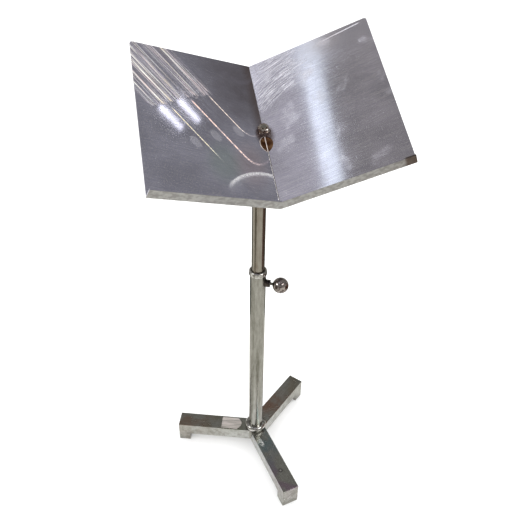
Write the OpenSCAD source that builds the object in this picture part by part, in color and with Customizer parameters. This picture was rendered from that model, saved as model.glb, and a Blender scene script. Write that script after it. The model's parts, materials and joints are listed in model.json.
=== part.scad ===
// Music stand: a V-shaped tray on a telescoping column with a three-legged base.
// Millimetres, +Z up. The origin is on the floor at the column's axis, and the reader stands at -Y.
// The stand is drawn with its tray reclined, turned a little on its screw, and its column part way up.

/* [Base] */
// From the column's axis to the end of each leg
leg_reach = 187; // [150:1:230]
// Width of a leg and of its foot
leg_w = 37; // [34:0.5:50]
// Height of a leg's bar
leg_t = 30; // [20:1:40]
// Height of a foot under its leg
foot_h = 22; // [14:1:40]
// Length of a foot along its leg
foot_l = 26.5; // [15:0.5:40]
// Direction of the front leg, counted from +X
front_leg_turn = -68.6; // [-90:0.1:-30]

/* [Column] */
// Outer diameter of the lower tube
lower_od = 32; // [30:0.1:40]
// Wall of the lower tube
lower_wall = 1.5; // [1:0.1:2]
// Length of the lower tube
lower_len = 459; // [380:1:560]
// Outer diameter of the upper tube
upper_od = 26; // [21.5:0.1:26.5]
// Wall of the upper tube
upper_wall = 1.5; // [1:0.1:2]
// Height of the tilt pivot over the floor, as drawn
pivot_z = 785; // [755:1:820]
// How far the column can still go down, as drawn
travel_down = 100; // [60:1:105]
// How far the ring at the foot of the column stands out of the tube
base_collar_w = 8.5; // [8:0.5:12]
// Height of that ring
base_collar_h = 14; // [8:0.5:16]
// How far the collar on top of the lower tube stands out of the tube
top_collar_w = 2; // [1:0.5:6]
// Height of that collar over the tube
top_collar_h = 12; // [8:0.5:18]
// Length of the brass guide sleeve inside the lower tube
guide_l = 34; // [20:1:60]

/* [Column clamp] */
// From the lower tube's top end down to the clamp screw
clamp_drop = 18; // [14:0.5:40]
// Direction of the clamp screw, counted from +X
clamp_turn = -17.9; // [-60:0.1:60]
// Thread diameter of the clamp screw
screw_d = 6.5; // [5:0.5:8]
// Size of the boss over its six corners
boss_w = 16.5; // [14:0.5:20]
// How far the boss stands out of the tube
boss_l = 8.8; // [6:0.1:14]
// Diameter of the ball handle
ball_d = 32; // [24:0.5:38]
// Bare screw between the boss and the ball
neck_l = 5.8; // [4:0.1:12]

/* [Tilt head] */
// Thickness of each of the two pivot blades
blade_t = 7; // [5:0.5:9]
// Space between the blades
blade_gap = 1; // [0.8:0.1:2]
// Radius of the blades round the pivot
eye_r = 10.5; // [9:0.5:12.5]
// Diameter of the pivot bolt and of the tray's stud
bolt_d = 8; // [6:0.1:10]
// From the pivot forward to the fold of the tray
stud_reach = 30; // [29:0.5:36]

/* [Tray] */
// Width of one plate, from the fold to its outer edge
plate_w = 207; // [160:1:250]
// Height of the plates along the fold
plate_h = 284; // [250:1:340]
// Thickness of the sheet
sheet_t = 2.5; // [1.5:0.1:3]
// How far each plate is bent forward from flat
fold_bend = 23.3; // [12:0.1:30]
// How far the ledge stands out of the plates
ledge_d = 17.3; // [12:0.1:30]
// Radius of the plates' upper corners
corner_r = 5; // [1:0.5:15]
// Recline from upright, as drawn
recline = 59.2; // [20:0.1:75]
// Turn of the tray on its stud, as drawn
tray_spin = 7.7; // [0:0.1:12]
// From the ledge up to the stud
stud_up = 145.5; // [120:0.5:160]
// Middle of the oval opening, from the ledge up
oval_up = 119; // [95:0.5:122]
// Height of the oval opening
oval_h = 31; // [20:0.5:34]
// Width of the oval opening across both plates
oval_w = 21; // [14:0.5:26]

/* [Hidden] */

$fn = 96;
leg_turns = [front_leg_turn, front_leg_turn - 120, front_leg_turn + 120];
// Running clearance on a radius, gap between parts that pass each other, and play of a bolt in its hole
run_c = 0.05;
gap = 0.3;
bolt_c = 0.1;
// Overlap of a cutting shape past the face that it cuts
cut = 1;

// Heights of the column's parts
leg_top = foot_h + leg_t;
lower_top = leg_top + lower_len;
lower_r = lower_od / 2;
lower_bore_r = lower_r - lower_wall;
upper_r = upper_od / 2;
upper_bore_r = upper_r - upper_wall;
plug_h = 36;
plug_top = leg_top + plug_h;
hub_bolt_r = 5;
hub_head_h = 7;
hub_washer_t = 2.5;
hub_washer_r = 13;

// The guide at the lower end of the upper tube
spigot_r = 8;
guide_washer_t = 2;
guide_head_h = 5;
guide_screw_r = 3;
guide_z = plug_top + gap + travel_down + guide_head_h + guide_washer_t + gap;
upper_bottom = guide_z + guide_l + gap;
mast_plug_h = 25;

// The head on top of the upper tube
head_flange_h = 5;
head_flange_z = pivot_z - eye_r - 2 - head_flange_h;
head_plug_h = 28;
blade_w = 2 * eye_r;
lug_x = blade_gap / 2 + blade_t / 2;
pivot_washer_t = blade_gap - gap;
flat_washer_t = 1.6;
bolt_r = bolt_d / 2;
hex_r = bolt_d * 0.92;
bolt_head_h = bolt_d * 0.65;
nut_h = bolt_d * 0.8;

// The clamp
screw_r = screw_d / 2;
clamp_z = lower_top - clamp_drop;
boss_end = lower_r + boss_l;
ball_r = ball_d / 2;
ball_flat_r = screw_r + 1.2;
ball_x = boss_end + neck_l + sqrt(ball_r * ball_r - ball_flat_r * ball_flat_r);
shoe_face = upper_r + gap;
shoe_end = lower_r + 0.5;
shoe_pin_r = 1.5;
shoe_pin_l = 1.6;

// The tray, in its own axes: x to the right, y away from the reader, z up the fold, zero at the pivot
lug_shoulder_y = -eye_r - 2.4;
lug_shoulder_r = 10;
lug_washer_t = 1.2;
saddle_back_y = lug_shoulder_y - lug_washer_t - gap;
saddle_half_w = 17;
saddle_top = 14;
saddle_bottom = oval_up - oval_h / 2 - 6 - stud_up;
fold_back = sheet_t / cos(fold_bend);
seat_w = 17;
seat_h = 15;
seat_front = seat_w / 2 * tan(fold_bend) + 1.2;
nut_y = -stud_reach - seat_front - gap;
nut_flat_r = 8.6;
tray_nut_h = 5.5;
stud_end_y = nut_y - tray_nut_h - 1.4;
bead_r = 1.1;
rib_t = 1.6;
brass = [0.55, 0.42, 0.22];
nickel = [0.62, 0.6, 0.56];
chrome = [0.72, 0.71, 0.69];
polished_sheet = [0.55, 0.54, 0.58];
steel = [0.5, 0.5, 0.5];

// A bar that starts in a 120-degree point on the column's axis, so that three of them close up
module mitred_bar() {
    half = leg_w / 2;
    point_l = half / tan(60);
    linear_extrude(height = leg_t)
        polygon([[0, 0], [point_l, -half], [leg_reach, -half], [leg_reach, half], [point_l, half]]);
}

module leg(turn) {
    color(nickel)
        difference() {
            translate([0, 0, foot_h])
                rotate([0, 0, turn])
                    mitred_bar();
            translate([0, 0, foot_h - cut])
                cylinder(h = leg_t + 2 * cut, r = hub_bolt_r + bolt_c);
        }
}

module foot(turn) {
    color(nickel)
        rotate([0, 0, turn])
            translate([leg_reach - foot_l, -leg_w / 2, 0])
                cube([foot_l, leg_w, foot_h]);
}

module leg_front() { leg(leg_turns[0]); }
module leg_left() { leg(leg_turns[1]); }
module leg_right() { leg(leg_turns[2]); }
module foot_front() { foot(leg_turns[0]); }
module foot_left() { foot(leg_turns[1]); }
module foot_right() { foot(leg_turns[2]); }

// Turned plug inside the tube's foot, threaded for the bolt that comes up through the legs
module hub_plug() {
    color(steel)
        difference() {
            translate([0, 0, leg_top])
                cylinder(h = plug_h, r = lower_bore_r);
            translate([0, 0, leg_top - cut])
                cylinder(h = plug_h - 5 + cut, r = hub_bolt_r + bolt_c);
        }
}

module hub_washer() {
    color(steel)
        translate([0, 0, foot_h - hub_washer_t])
            difference() {
                cylinder(h = hub_washer_t, r = hub_washer_r);
                translate([0, 0, -cut])
                    cylinder(h = hub_washer_t + 2 * cut, r = hub_bolt_r + bolt_c);
            }
}

module hub_bolt() {
    head_z = foot_h - hub_washer_t - hub_head_h;
    color(steel)
        translate([0, 0, head_z]) {
            cylinder(h = hub_head_h, r = hub_bolt_r * 1.8, $fn = 6);
            cylinder(h = plug_top - 8 - head_z, r = hub_bolt_r);
        }
}

// Ring with a round outer face, as turned and pressed down round the column
module round_ring(outer_r, inner_r, height, edge_r) {
    rotate_extrude()
        union() {
            translate([inner_r, 0])
                square([outer_r - edge_r - inner_r, height]);
            translate([outer_r - edge_r, edge_r])
                square([edge_r, height - 2 * edge_r]);
            intersection() {
                union() {
                    translate([outer_r - edge_r, edge_r])
                        circle(r = edge_r, $fn = 48);
                    translate([outer_r - edge_r, height - edge_r])
                        circle(r = edge_r, $fn = 48);
                }
                translate([outer_r - edge_r, 0])
                    square([edge_r, height]);
            }
        }
}

module base_collar() {
    color(chrome)
        translate([0, 0, leg_top])
            round_ring(lower_r + base_collar_w, lower_r, base_collar_h, base_collar_h / 2 - 0.5);
}

module lower_tube() {
    color(nickel)
        difference() {
            translate([0, 0, leg_top])
                cylinder(h = lower_len, r = lower_r);
            translate([0, 0, leg_top - cut])
                cylinder(h = lower_len + 2 * cut, r = lower_bore_r);
            clamp_axis()
                cylinder(h = lower_r + cut, r = screw_r + bolt_c);
        }
}

// The collar has a skirt inside the tube, and its bore guides the upper tube
module top_collar() {
    skirt_h = 8;
    mouth = 1.2;
    top_edge_r = 3;
    color(chrome)
        translate([0, 0, lower_top])
            difference() {
                union() {
                    round_ring(lower_r + top_collar_w, upper_r + run_c, top_collar_h, top_edge_r);
                    translate([0, 0, -skirt_h])
                        cylinder(h = skirt_h + cut, r = lower_bore_r);
                }
                translate([0, 0, -skirt_h - cut])
                    cylinder(h = skirt_h + top_collar_h + 2 * cut, r = upper_r + run_c);
                translate([0, 0, top_collar_h - mouth])
                    cylinder(h = mouth + 0.01, r1 = upper_r + run_c, r2 = upper_r + mouth + 0.6);
            }
}

// Turns +Z into the clamp screw's direction, out of the column
module clamp_axis() {
    translate([0, 0, clamp_z])
        rotate([0, 90, clamp_turn])
            children();
}

// Six-sided boss brazed to the side of the tube
module clamp_boss() {
    color(steel)
        difference() {
            clamp_axis()
                cylinder(h = boss_end, r = boss_w / 2, $fn = 6);
            translate([0, 0, clamp_z - boss_w])
                cylinder(h = 2 * boss_w, r = lower_r);
            clamp_axis()
                cylinder(h = boss_end + cut, r = screw_r + run_c);
        }
}

// Brass pad that bears on the upper tube, with a socket for the screw's pin
module clamp_shoe() {
    color(brass)
        difference() {
            clamp_axis()
                cylinder(h = shoe_end, r = screw_r);
            translate([0, 0, clamp_z - boss_w])
                cylinder(h = 2 * boss_w, r = shoe_face);
            clamp_axis()
                translate([0, 0, shoe_end - shoe_pin_l - gap])
                    cylinder(h = shoe_pin_l + gap + cut, r = shoe_pin_r + run_c);
        }
}

module clamp_screw() {
    tip = shoe_end + run_c;
    color(nickel)
        clamp_axis() {
            translate([0, 0, tip])
                cylinder(h = ball_x + ball_r / 4 - tip, r = screw_r);
            translate([0, 0, tip - shoe_pin_l])
                cylinder(h = shoe_pin_l + cut, r = shoe_pin_r);
        }
}

module ball_knob() {
    color(chrome)
        clamp_axis()
            difference() {
                translate([0, 0, ball_x])
                    sphere(r = ball_r);
                translate([0, 0, ball_x - ball_r - cut])
                    cylinder(h = ball_r + ball_r / 4 + cut, r = screw_r);
                cylinder(h = boss_end + neck_l, r = ball_r);
            }
}

// Brass sleeve that runs in the lower tube and lets the column turn in it
module guide_sleeve() {
    color(brass)
        translate([0, 0, guide_z])
            difference() {
                cylinder(h = guide_l, r = lower_bore_r - run_c);
                translate([0, 0, -cut])
                    cylinder(h = guide_l + 2 * cut, r = spigot_r + run_c);
            }
}

module guide_washer() {
    color(steel)
        translate([0, 0, guide_z - gap - guide_washer_t])
            difference() {
                cylinder(h = guide_washer_t, r = lower_bore_r - 2);
                translate([0, 0, -cut])
                    cylinder(h = guide_washer_t + 2 * cut, r = guide_screw_r + bolt_c);
            }
}

module guide_screw() {
    head_z = guide_z - gap - guide_washer_t - guide_head_h;
    color(steel)
        translate([0, 0, head_z])
            difference() {
                union() {
                    cylinder(h = guide_head_h, r = guide_screw_r * 2);
                    cylinder(h = guide_head_h + guide_washer_t + 20, r = guide_screw_r);
                }
                translate([-guide_screw_r * 2 - cut, -0.8, -cut])
                    cube([guide_screw_r * 4 + 2 * cut, 1.6, 1.8 + cut]);
            }
}

// Plug in the lower end of the upper tube, with the spigot that carries the sleeve
module mast_plug() {
    spigot_l = guide_l + 2 * gap;
    color(steel)
        translate([0, 0, guide_z - gap])
            difference() {
                union() {
                    cylinder(h = spigot_l + mast_plug_h, r = spigot_r);
                    translate([0, 0, spigot_l])
                        cylinder(h = mast_plug_h, r = upper_bore_r);
                }
                translate([0, 0, -cut])
                    cylinder(h = 24 + cut, r = guide_screw_r + bolt_c);
            }
}

module upper_tube() {
    color(nickel)
        translate([0, 0, upper_bottom])
            difference() {
                cylinder(h = head_flange_z - upper_bottom, r = upper_r);
                translate([0, 0, -cut])
                    cylinder(h = head_flange_z - upper_bottom + 2 * cut, r = upper_bore_r);
            }
}

// Cylinder along +X from x1 to x2, through the pivot
module pivot_rod(x1, x2, radius, sides = 96) {
    translate([x1, 0, pivot_z])
        rotate([0, 90, 0])
            cylinder(h = x2 - x1, r = radius, $fn = sides);
}

// Plug, flange and flat blade in one turning, the blade beside the column's axis
module mast_head() {
    outer_x = -blade_gap / 2 - blade_t;
    color(nickel)
        difference() {
            union() {
                translate([0, 0, head_flange_z - head_plug_h])
                    cylinder(h = head_plug_h + cut, r = upper_bore_r);
                translate([0, 0, head_flange_z])
                    cylinder(h = head_flange_h, r = upper_r);
                translate([outer_x, -blade_w / 2, head_flange_z + head_flange_h - cut])
                    cube([blade_t, blade_w, pivot_z - head_flange_z - head_flange_h + cut]);
                pivot_rod(outer_x, -blade_gap / 2, eye_r);
            }
            pivot_rod(outer_x - cut, cut, bolt_r + bolt_c);
        }
}

module tilt_bolt() {
    left_x = -blade_gap / 2 - blade_t - flat_washer_t;
    right_x = blade_gap / 2 + blade_t + gap + flat_washer_t + nut_h + 1;
    color(steel) {
        pivot_rod(left_x - bolt_head_h, left_x, hex_r, 6);
        pivot_rod(left_x - cut, right_x, bolt_r);
    }
}

module tilt_nut() {
    left_x = blade_gap / 2 + blade_t + gap + flat_washer_t;
    color(steel)
        difference() {
            pivot_rod(left_x, left_x + nut_h, hex_r, 6);
            pivot_rod(left_x - cut, left_x + nut_h + cut, bolt_r);
        }
}

// Flat washers under the bolt's head and nut, and the fibre one between the blades
module tilt_washers() {
    color(brass)
        for (w = [
            [-blade_gap / 2 - blade_t - flat_washer_t, flat_washer_t],
            [-blade_gap / 2, pivot_washer_t],
            [blade_gap / 2 + blade_t + gap, flat_washer_t]
        ])
            difference() {
                pivot_rod(w[0], w[0] + w[1], hex_r + 1);
                pivot_rod(w[0] - cut, w[0] + w[1] + cut, bolt_r + bolt_c / 2);
            }
}

// The tray's own axes at the pivot, before and after its turn on the stud
module lug_axes() {
    translate([0, 0, pivot_z])
        rotate([-recline, 0, 0])
            children();
}

module tray_axes() {
    lug_axes()
        translate([lug_x, 0, 0])
            rotate([0, -tray_spin, 0])
                children();
}

// Cylinder along the stud from y_back to y_front, in lug_axes or tray_axes
module stud_rod(y_back, y_front, radius, sides = 96) {
    translate([0, y_back, 0])
        rotate([90, 0, 0])
            cylinder(h = y_back - y_front, r = radius, $fn = sides);
}

// Blade, shoulder and stud in one turning
module tray_lug() {
    color(nickel)
        lug_axes()
            difference() {
                union() {
                    translate([blade_gap / 2, 0, 0])
                        rotate([0, 90, 0])
                            cylinder(h = blade_t, r = eye_r);
                    translate([blade_gap / 2, lug_shoulder_y + cut, -eye_r * 0.8])
                        cube([blade_t, -lug_shoulder_y - cut, eye_r * 1.6]);
                    translate([lug_x, 0, 0])
                        stud_rod(lug_shoulder_y + 2, lug_shoulder_y, lug_shoulder_r);
                    translate([lug_x, 0, 0])
                        stud_rod(lug_shoulder_y + 1, stud_end_y, bolt_r);
                }
                translate([-cut, 0, 0])
                    rotate([0, 90, 0])
                        cylinder(h = blade_gap + blade_t + 2 * cut, r = bolt_r + run_c);
            }
}

module lug_washer() {
    front_y = lug_shoulder_y - lug_washer_t;
    color([0.35, 0.2, 0.12])
        lug_axes()
            translate([lug_x, 0, 0])
                difference() {
                    stud_rod(lug_shoulder_y, front_y, lug_shoulder_r);
                    stud_rod(lug_shoulder_y + cut, front_y - cut, bolt_r + bolt_c / 2);
                }
}

module tray_nut() {
    color(chrome)
        lug_axes()
            translate([lug_x, 0, 0])
                difference() {
                    stud_rod(nut_y, nut_y - tray_nut_h, nut_flat_r, 6);
                    stud_rod(nut_y + cut, nut_y - tray_nut_h - cut, bolt_r);
                }
}

// Brass block behind the fold, its front cut to the V of the plates, with a rib that shows in the oval
module saddle() {
    fold_y = -stud_reach + fold_back;
    side_y = fold_y - saddle_half_w * tan(fold_bend);
    rib_l = oval_h - 2 * gap;
    color(brass)
        tray_axes()
            difference() {
                union() {
                    translate([0, 0, saddle_bottom])
                        linear_extrude(height = saddle_top - saddle_bottom)
                            polygon([
                                [-saddle_half_w, saddle_back_y], [-saddle_half_w, side_y], [0, fold_y],
                                [saddle_half_w, side_y], [saddle_half_w, saddle_back_y]
                            ]);
                    translate([-rib_t / 2, -stud_reach, oval_up - stud_up - rib_l / 2])
                        cube([rib_t, fold_back + cut, rib_l]);
                }
                stud_rod(0, -stud_reach - cut, bolt_r + run_c);
            }
}

// One plate with its ledge, drawn to the right of the fold in the tray's own axes
module plate() {
    reach_x = plate_w * cos(fold_bend);
    reach_y = -plate_w * sin(fold_bend);
    back_x = reach_x + sheet_t * sin(fold_bend);
    back_y = reach_y + sheet_t * cos(fold_bend);
    ledge_x = reach_x - ledge_d * sin(fold_bend);
    ledge_y = reach_y - ledge_d * cos(fold_bend);
    translate([0, -stud_reach, -stud_up])
        difference() {
            union() {
                linear_extrude(height = plate_h)
                    polygon([[0, 0], [reach_x, reach_y], [back_x, back_y], [0, fold_back]]);
                linear_extrude(height = sheet_t)
                    polygon([
                        [0, -ledge_d / cos(fold_bend)], [ledge_x, ledge_y],
                        [back_x, back_y], [0, fold_back]
                    ]);
            }
            plate_corner_cut();
            oval_cut();
            translate([0, 0, stud_up])
                stud_rod(fold_back + cut, -ledge_d, bolt_r + run_c);
        }
}

// Takes the square off the upper outer corner and leaves a quarter round
module plate_corner_cut() {
    rotate([0, 0, -fold_bend])
        translate([plate_w - corner_r, 0, plate_h - corner_r])
            rotate([90, 0, 0])
                translate([0, 0, -2 * sheet_t])
                    difference() {
                        cube([corner_r + cut, corner_r + cut, 3 * sheet_t]);
                        translate([0, 0, -cut])
                            cylinder(h = 3 * sheet_t + 2 * cut, r = corner_r);
                    }
}

// Oval made of two arcs that meet in points on the fold
module oval_cut() {
    half_h = oval_h / 2;
    half_w = oval_w / 2;
    arc_r = (half_h * half_h + half_w * half_w) / oval_w;
    translate([0, 0, oval_up])
        rotate([90, 0, 0])
            translate([0, 0, -2 * fold_back])
                linear_extrude(height = ledge_d)
                    intersection() {
                        translate([arc_r - half_w, 0])
                            circle(r = arc_r);
                        translate([half_w - arc_r, 0])
                            circle(r = arc_r);
                    }
}

module right_plate() {
    color(polished_sheet)
        tray_axes()
            plate();
}

module left_plate() {
    color(polished_sheet)
        tray_axes()
            mirror([1, 0, 0])
                plate();
}

// Bead of weld along the fold, from the ledge to the oval opening
module fold_bead() {
    w = 2 * bead_r;
    color(chrome)
        tray_axes()
            translate([0, -stud_reach, sheet_t - stud_up])
                linear_extrude(height = oval_up - oval_h / 2 - sheet_t)
                    intersection() {
                        circle(r = bead_r);
                        polygon([
                            [0, 0], [w, -w * tan(fold_bend)], [w, -2 * w],
                            [-w, -2 * w], [-w, -w * tan(fold_bend)]
                        ]);
                    }
}

// Washer with a V-shaped back, which gives the nut a flat seat in the fold
module seat_washer() {
    side_y = -seat_w / 2 * tan(fold_bend);
    color(chrome)
        tray_axes()
            difference() {
                translate([0, -stud_reach, -seat_h / 2])
                    linear_extrude(height = seat_h)
                        polygon([
                            [0, 0], [seat_w / 2, side_y], [seat_w / 2, -seat_front],
                            [-seat_w / 2, -seat_front], [-seat_w / 2, side_y]
                        ]);
                stud_rod(0, -2 * stud_reach, bolt_r + run_c);
            }
}

leg_front();
leg_left();
leg_right();
foot_front();
foot_left();
foot_right();
hub_plug();
hub_bolt();
hub_washer();
base_collar();
lower_tube();
top_collar();
clamp_boss();
clamp_shoe();
clamp_screw();
ball_knob();
guide_sleeve();
guide_screw();
guide_washer();
mast_plug();
upper_tube();
mast_head();
tilt_bolt();
tilt_nut();
tilt_washers();
tray_lug();
lug_washer();
tray_nut();
saddle();
left_plate();
right_plate();
fold_bead();
seat_washer();
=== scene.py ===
import json
from math import asin, cos, floor, pi, radians, sin, sqrt, tan

import bmesh
import bpy
from mathutils import Matrix, Vector


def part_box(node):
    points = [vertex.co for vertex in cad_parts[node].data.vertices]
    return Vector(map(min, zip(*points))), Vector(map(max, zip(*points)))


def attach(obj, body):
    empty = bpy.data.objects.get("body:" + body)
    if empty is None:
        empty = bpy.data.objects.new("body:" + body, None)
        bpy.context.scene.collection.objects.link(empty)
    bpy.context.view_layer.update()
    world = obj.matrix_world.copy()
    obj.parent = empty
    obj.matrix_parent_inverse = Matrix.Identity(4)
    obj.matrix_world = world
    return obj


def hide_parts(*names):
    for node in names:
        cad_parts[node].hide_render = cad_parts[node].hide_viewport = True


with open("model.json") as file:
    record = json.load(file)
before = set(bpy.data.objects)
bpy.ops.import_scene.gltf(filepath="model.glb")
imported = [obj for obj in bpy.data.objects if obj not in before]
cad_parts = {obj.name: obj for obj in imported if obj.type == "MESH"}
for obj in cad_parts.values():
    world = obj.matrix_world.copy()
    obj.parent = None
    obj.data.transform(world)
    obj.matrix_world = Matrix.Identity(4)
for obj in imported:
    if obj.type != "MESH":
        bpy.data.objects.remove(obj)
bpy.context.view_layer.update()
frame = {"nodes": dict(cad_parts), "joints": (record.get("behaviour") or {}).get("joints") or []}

# ---- Camera ------------------------------------------------------------------------------------
# It stands in front of the reader's side, a little left of the column, and looks down on the tray.
camera_place = Vector((-0.0577, -0.8404, 1.1353))
camera_turn = radians(3.63)
camera_drop = radians(34.59)
camera_roll = radians(0.78)

camera_data = bpy.data.cameras.new("camera")
camera_data.sensor_width = 36
camera_data.lens = 37.56
camera = bpy.data.objects.new("camera", camera_data)
camera.matrix_world = (
    Matrix.Translation(camera_place)
    @ Matrix.Rotation(-camera_turn, 4, "Z")
    @ Matrix.Rotation(pi / 2 - camera_drop, 4, "X")
    @ Matrix.Rotation(camera_roll, 4, "Z")
)
bpy.context.scene.collection.objects.link(camera)
bpy.context.scene.camera = camera
bpy.context.scene.view_settings.view_transform = "Standard"


# ---- Floor -------------------------------------------------------------------------------------
# A wide, plain, pale studio floor, painted matt. The stand's feet rest on it. In the plating's
# reflections only, it is painted darker and greyer from the stand outwards, as painted shade.
class Wire:
    """An output socket in a node tree. Arithmetic on it adds Math nodes to the same tree."""

    def __init__(self, tree, socket=None):
        self.tree = tree
        self.socket = socket

    def node(self, kind, settings=None, inputs=None, output=0):
        """Adds any other node: its settings first, then the values or links of its inputs.

        A colour ramp's stops are given in rising order.
        """
        made = self.tree.nodes.new(kind)
        for name, value in (settings or {}).items():
            if name == "stops":
                ramp = made.color_ramp.elements
                for stop, (place, colour) in enumerate(value):
                    if stop > 1:
                        ramp.new(place)
                    ramp[stop].position = place
                    ramp[stop].color = (*colour, 1)
            else:
                setattr(made, name, value)
        for name, value in (inputs or {}).items():
            self.feed(made.inputs[name], value)
        return Wire(self.tree, made.outputs[output])

    def feed(self, socket, value):
        """Gives a socket a value, or a link where the value is a wire."""
        if isinstance(value, Wire):
            self.tree.links.new(value.socket, socket)
        elif socket.type == "RGBA" and len(value) == 3:
            socket.default_value = (*value, 1)
        else:
            socket.default_value = value

    def math(self, operation, *values):
        return self.node("ShaderNodeMath", {"operation": operation}, dict(enumerate(values)))

    def __add__(self, other):
        return self.math("ADD", self, other)

    def __sub__(self, other):
        return self.math("SUBTRACT", self, other)

    def __rsub__(self, other):
        return self.math("SUBTRACT", other, self)

    def __mul__(self, other):
        return self.math("MULTIPLY", self, other)

    __radd__ = __add__
    __rmul__ = __mul__


def new_finish(name, **steady):
    """A new material: its plain sockets are set, and its tree and shader come back for the rest."""
    material = bpy.data.materials.new(name)
    material.use_nodes = True
    shader = material.node_tree.nodes["Principled BSDF"]
    wire = Wire(material.node_tree)
    for socket, value in steady.items():
        wire.feed(shader.inputs[socket.replace("_", " ")], value)
    return material, wire, shader


def smooth(value, low, high):
    """0 below low, 1 above high and a soft step between; low may be the larger one."""
    return value.node(
        "ShaderNodeMapRange", {"interpolation_type": "SMOOTHSTEP"},
        {"Value": value, "From Min": low, "From Max": high},
    )


def blend_colour(factor, first, second):
    return factor.node(
        "ShaderNodeMix", {"data_type": "RGBA"}, {0: factor, 6: first, 7: second}, output=2)


def cloud(place, scale, stretch=(1, 1, 1), detail=3, shift=0.0):
    """Noise from 0 to 1 on a place in metres; scale is features a metre, stretch squeezes axes."""
    pulled = place.node(
        "ShaderNodeVectorMath", {"operation": "MULTIPLY_ADD"},
        {0: place, 1: stretch, 2: (shift, shift, shift)})
    return place.node("ShaderNodeTexNoise", {}, {"Vector": pulled, "Scale": scale, "Detail": detail})


def rest_place(wire):
    """Where a point of the piece is on the stand at rest, in metres."""
    return wire.node("ShaderNodeTexCoord", output="Object")


def new_piece(name, points, faces, smooth_shading=True):
    """A mesh object from points and faces, with its normals made to point outward."""
    mesh = bpy.data.meshes.new(name)
    mesh.from_pydata([tuple(p) for p in points], [], faces)
    shape = bmesh.new()
    shape.from_mesh(mesh)
    bmesh.ops.recalc_face_normals(shape, faces=shape.faces)
    shape.to_mesh(mesh)
    shape.free()
    mesh.polygons.foreach_set("use_smooth", [smooth_shading] * len(mesh.polygons))
    piece = bpy.data.objects.new(name, mesh)
    bpy.context.scene.collection.objects.link(piece)
    return piece


floor_r, floor_sides = 14.0, 96
floor_turns = [2 * pi * i / floor_sides for i in range(floor_sides)]
floor_rim = [(floor_r * cos(turn), floor_r * sin(turn), 0) for turn in floor_turns]
studio_floor = new_piece("studio_floor", floor_rim, [tuple(range(floor_sides))], smooth_shading=False)
floor_paint, wire, shader = new_finish("floor_paint", Roughness=0.85, Specular_IOR_Level=0.1)
floor_place = rest_place(wire)
white = blend_colour(cloud(floor_place, 1.5), (0.93, 0.93, 0.93), (0.95, 0.95, 0.95))
from_stand = floor_place.node(
    "ShaderNodeVectorMath", {"operation": "LENGTH"}, {0: floor_place}, output="Value")
# Painted shade: only glossy rays see the floor darker from the stand outwards.
floor_dim_in_reflections = smooth(from_stand, 0.0, 0.28) * wire.node("ShaderNodeLightPath", output="Is Glossy Ray")
wire.feed(shader.inputs["Base Color"], blend_colour(floor_dim_in_reflections, white, (0.54, 0.53, 0.49)))
studio_floor.data.materials.append(floor_paint)


# ---- Studio light ------------------------------------------------------------------------------
# One wide soft light overhead for the floor, two windows at the sides that show only in polished
# metal, and strips and small lamps near the ceiling that the plates pick up.
def studio_light(name, place, aim, length, width, watts, colour=(1, 1, 1), along=(1, 0, 0)):
    """A rectangular light at place that shines at aim, its long side lying nearest to along."""
    data = bpy.data.lights.new(name, "AREA")
    data.shape = "RECTANGLE"
    data.size = length
    data.size_y = width
    data.energy = watts
    data.color = colour
    back = (Vector(place) - Vector(aim)).normalized()
    up = back.cross(Vector(along)).normalized()
    side = up.cross(back)
    light = bpy.data.objects.new(name, data)
    light.matrix_world = Matrix.Translation(place) @ Matrix((side, up, back)).transposed().to_4x4()
    light.visible_camera = False
    bpy.context.scene.collection.objects.link(light)
    return light


overhead = studio_light("overhead", (-0.35, 1.1, 2.8), (0, 0.1, 0), 1.6, 1.4, 4)
overhead.visible_glossy = False
for name, place, length in (("left_window", (-2.15, -0.66, 1.95), 1.2),
                            ("right_window", (1.35, -1.35, 2.35), 1.5)):
    window = studio_light(name, place, (0, 0, 0.5), length, 0.7, 20, along=(-place[1], place[0], 0))
    window.visible_diffuse = False
ceiling = 2.6
strip_way = (0.17, 0.67, 0)
studio_light("long_strip", (-0.81, 0.18, ceiling), (0.1, -0.03, 0.84), 1.5, 0.10, 0.50,
             (0.80, 0.94, 1.0), along=strip_way)
studio_light("wide_strip", (-1.02, 0.15, ceiling), (0.05, -0.03, 0.84), 1.3, 0.34, 0.30,
             (0.84, 0.88, 1.0), along=strip_way)
studio_light("side_strip", (-1.07, 0.62, ceiling), (0.0, 0.05, 0.85), 0.6, 0.04, 0.1,
             (0.82, 0.9, 1.0), along=(0.11, 0.2, 0))
for number, (lamp_x, lamp_y) in enumerate(((0.845, 0.635), (0.93, 0.725))):
    studio_light(f"ceiling_lamp_{number}", (lamp_x, lamp_y, ceiling), (-0.13, -0.06, 0.85),
                 0.16, 0.021, 0.034, along=(0.13, -0.03, 0))

# The camera and matt surfaces see an even white room. The one that polished metal mirrors is dim:
# its lower walls are paler up to a rail, and everything above that is greyer.
world = bpy.data.worlds.new("room")
world.use_nodes = True
bpy.context.scene.world = world
room = Wire(world.node_tree)
heading = room.node("ShaderNodeTexCoord", output="Generated")
height = heading.node("ShaderNodeSeparateXYZ", {}, {0: heading}, output=2)
room_light = height.node(
    "ShaderNodeValToRGB",
    {"stops": [(0.0, (0.46, 0.45, 0.43)), (0.25, (0.4125, 0.405, 0.3925)),
               (0.25, (0.33, 0.32, 0.31)), (0.6, (0.28, 0.275, 0.265))]},
    {0: height})
soft_fill = (1.75, 1.75, 1.75)
seen_directly = room.node("ShaderNodeLightPath", output="Is Camera Ray")
lights_matt = room.node("ShaderNodeLightPath", output="Is Diffuse Ray")
room.feed(world.node_tree.nodes["Background"].inputs["Color"],
          blend_colour(seen_directly + lights_matt, room_light, soft_fill))


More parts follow.
